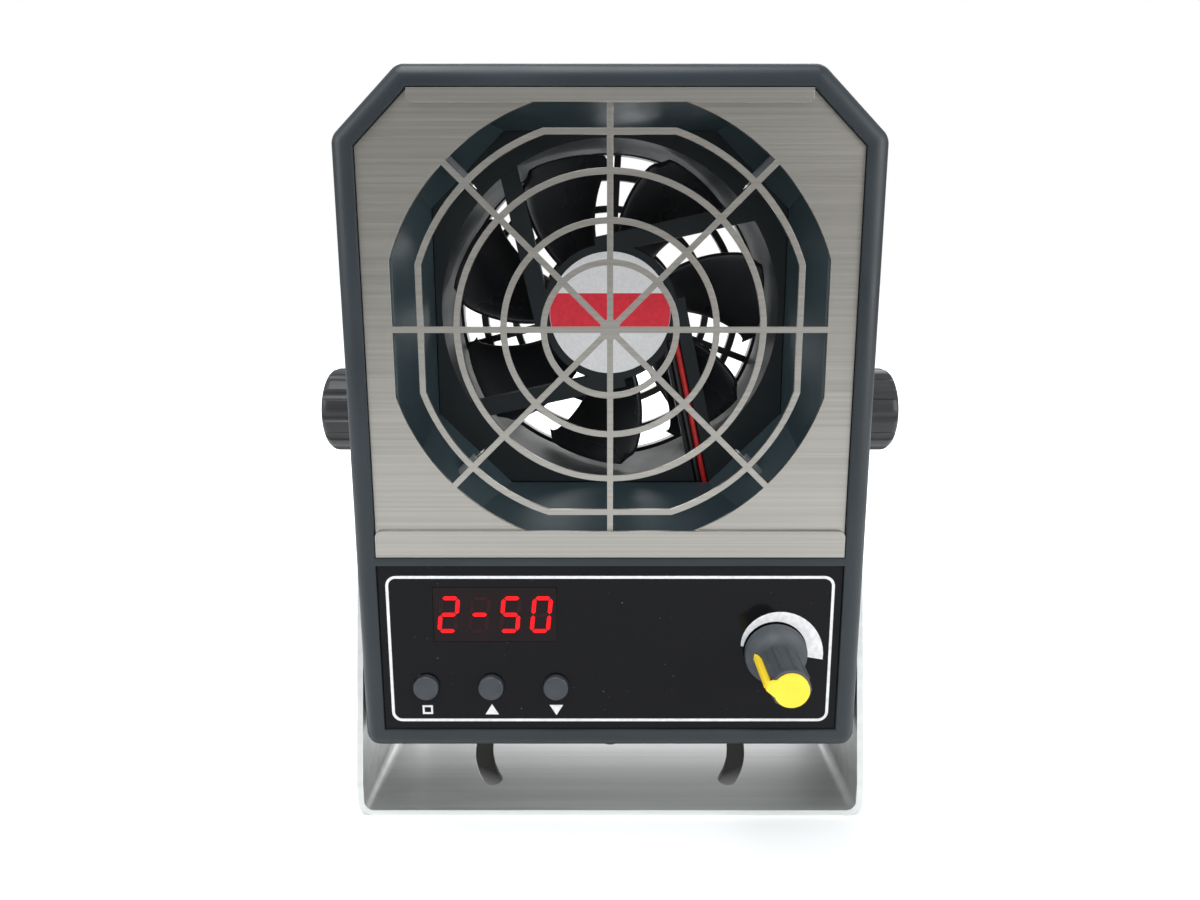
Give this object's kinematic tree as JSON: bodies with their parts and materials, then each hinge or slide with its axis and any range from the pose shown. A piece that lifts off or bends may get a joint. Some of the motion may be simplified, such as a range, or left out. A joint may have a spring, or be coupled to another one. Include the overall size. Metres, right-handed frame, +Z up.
{
  "type": "ionizing blower",
  "caption": "Bench-top ionizing air blower: upright housing with spider-web steel grille and control panel, axial fan and emitter needles, tilting in a folded steel bracket.",
  "frame": {"origin": "centre of the hole in the middle of the base plate, on the plate's underside", "axes": "+Z up, +X to the right of someone facing the grille, +Y away from them, into the housing; the grille and the controls face -Y"},
  "size_m": [0.152, 0.0823, 0.184],
  "materials": {
    "bracket_steel": "satin",
    "washer_nylon": "matte",
    "clamp_black": "matte",
    "zinc_steel": "satin",
    "insert_brass": "satin",
    "case_slate": "matte",
    "screw_steel": "polished",
    "panel_steel": "brushed",
    "plate_black": "gloss",
    "display_black": "gloss",
    "led_red": "gloss",
    "led_dark": "gloss",
    "button_slate": "satin",
    "switch_black": "matte",
    "board_green": "satin",
    "pot_metal": "satin",
    "nickel": "polished",
    "knob_soft": "matte",
    "cap_yellow": "satin",
    "duct_slate": "matte",
    "holder_grey": "gloss",
    "needle_steel": "polished",
    "fan_frame_grey": "matte",
    "winding_copper": "satin",
    "rotor_black": "satin",
    "magnet_grey": "matte",
    "label_white": "matte",
    "lead_red": "satin",
    "lead_black": "satin",
    "plug_ivory": "matte",
    "guard_black": "matte",
    "socket_black": "gloss",
    "module_blue": "satin"
  },
  "bodies": {
    "bracket": {"bracket": "bracket_steel", "washer_left": "washer_nylon", "washer_right": "washer_nylon"},
    "housing": {"front_case": "case_slate", "rear_cover": "case_slate", "cover_screws": "screw_steel", "tilt_inserts": "insert_brass", "grille_panel": "panel_steel", "control_plate": "plate_black", "display_module": "display_black", "lit_segments": "led_red", "dark_segments": "led_dark", "tact_switches": "switch_black", "control_board": "board_green", "board_screws": "screw_steel", "pot_body": "pot_metal", "pot_nut": "nickel", "air_duct": "duct_slate", "duct_screws": "screw_steel", "needle_holders": "holder_grey", "emitter_needles": "needle_steel", "fan_frame": "fan_frame_grey", "fan_spider": "fan_frame_grey", "fan_stator": "winding_copper", "fan_bearings": "nickel", "fan_label": "label_white", "fan_screws": "screw_steel", "lead_red": "lead_red", "lead_black": "lead_black", "lead_plug": "plug_ivory", "rear_guard": "guard_black", "guard_screws": "screw_steel", "dc_socket": "socket_black", "socket_pin": "nickel", "socket_nut": "nickel", "hv_module": "module_blue", "hv_screws": "screw_steel"},
    "rotor": {"fan_rotor": "rotor_black", "rotor_magnet": "magnet_grey", "fan_shaft": "zinc_steel"},
    "dial": {"speed_knob": "knob_soft", "knob_cap": "cap_yellow", "pot_shaft": "nickel"},
    "mode_key": {"mode_button": "button_slate"},
    "up_key": {"up_button": "button_slate"},
    "down_key": {"down_button": "button_slate"},
    "clamp_left": {"clamp_knob_left": "clamp_black", "stud_left": "zinc_steel"},
    "clamp_right": {"clamp_knob_right": "clamp_black", "stud_right": "zinc_steel"}
  },
  "joints": [
    {"name": "tilt", "type": "hinge", "parent": "bracket", "child": "housing", "pos_m": [0, 0, 0.1015], "axis": [1, 0, 0], "range_deg": [-90, 90]},
    {"name": "fan_spin", "type": "hinge", "parent": "housing", "child": "rotor", "pos_m": [0, 0.01, 0.128], "axis": [0, 1, 0], "continuous": true},
    {"name": "speed_turn", "type": "hinge", "parent": "housing", "child": "dial", "pos_m": [0.041, -0.04, 0.0456], "axis": [0, 1, 0], "range_deg": [-60, 240]},
    {"name": "mode_press", "type": "slide", "parent": "housing", "child": "mode_key", "axis": [0, 1, 0], "range_m": [0, 0.0005], "stiffness_N_per_m": 1500, "springref_m": -0.0002},
    {"name": "up_press", "type": "slide", "parent": "housing", "child": "up_key", "axis": [0, 1, 0], "range_m": [0, 0.0005], "stiffness_N_per_m": 1500, "springref_m": -0.0002},
    {"name": "down_press", "type": "slide", "parent": "housing", "child": "down_key", "axis": [0, 1, 0], "range_m": [0, 0.0005], "stiffness_N_per_m": 1500, "springref_m": -0.0002},
    {"name": "clamp_left_turn", "type": "hinge", "parent": "housing", "child": "clamp_left", "pos_m": [-0.0705, 0, 0.1015], "axis": [-1, 0, 0], "range_deg": [0, 180]},
    {"name": "clamp_right_turn", "type": "hinge", "parent": "housing", "child": "clamp_right", "pos_m": [0.0705, 0, 0.1015], "axis": [1, 0, 0], "range_deg": [0, 180]}
  ]
}
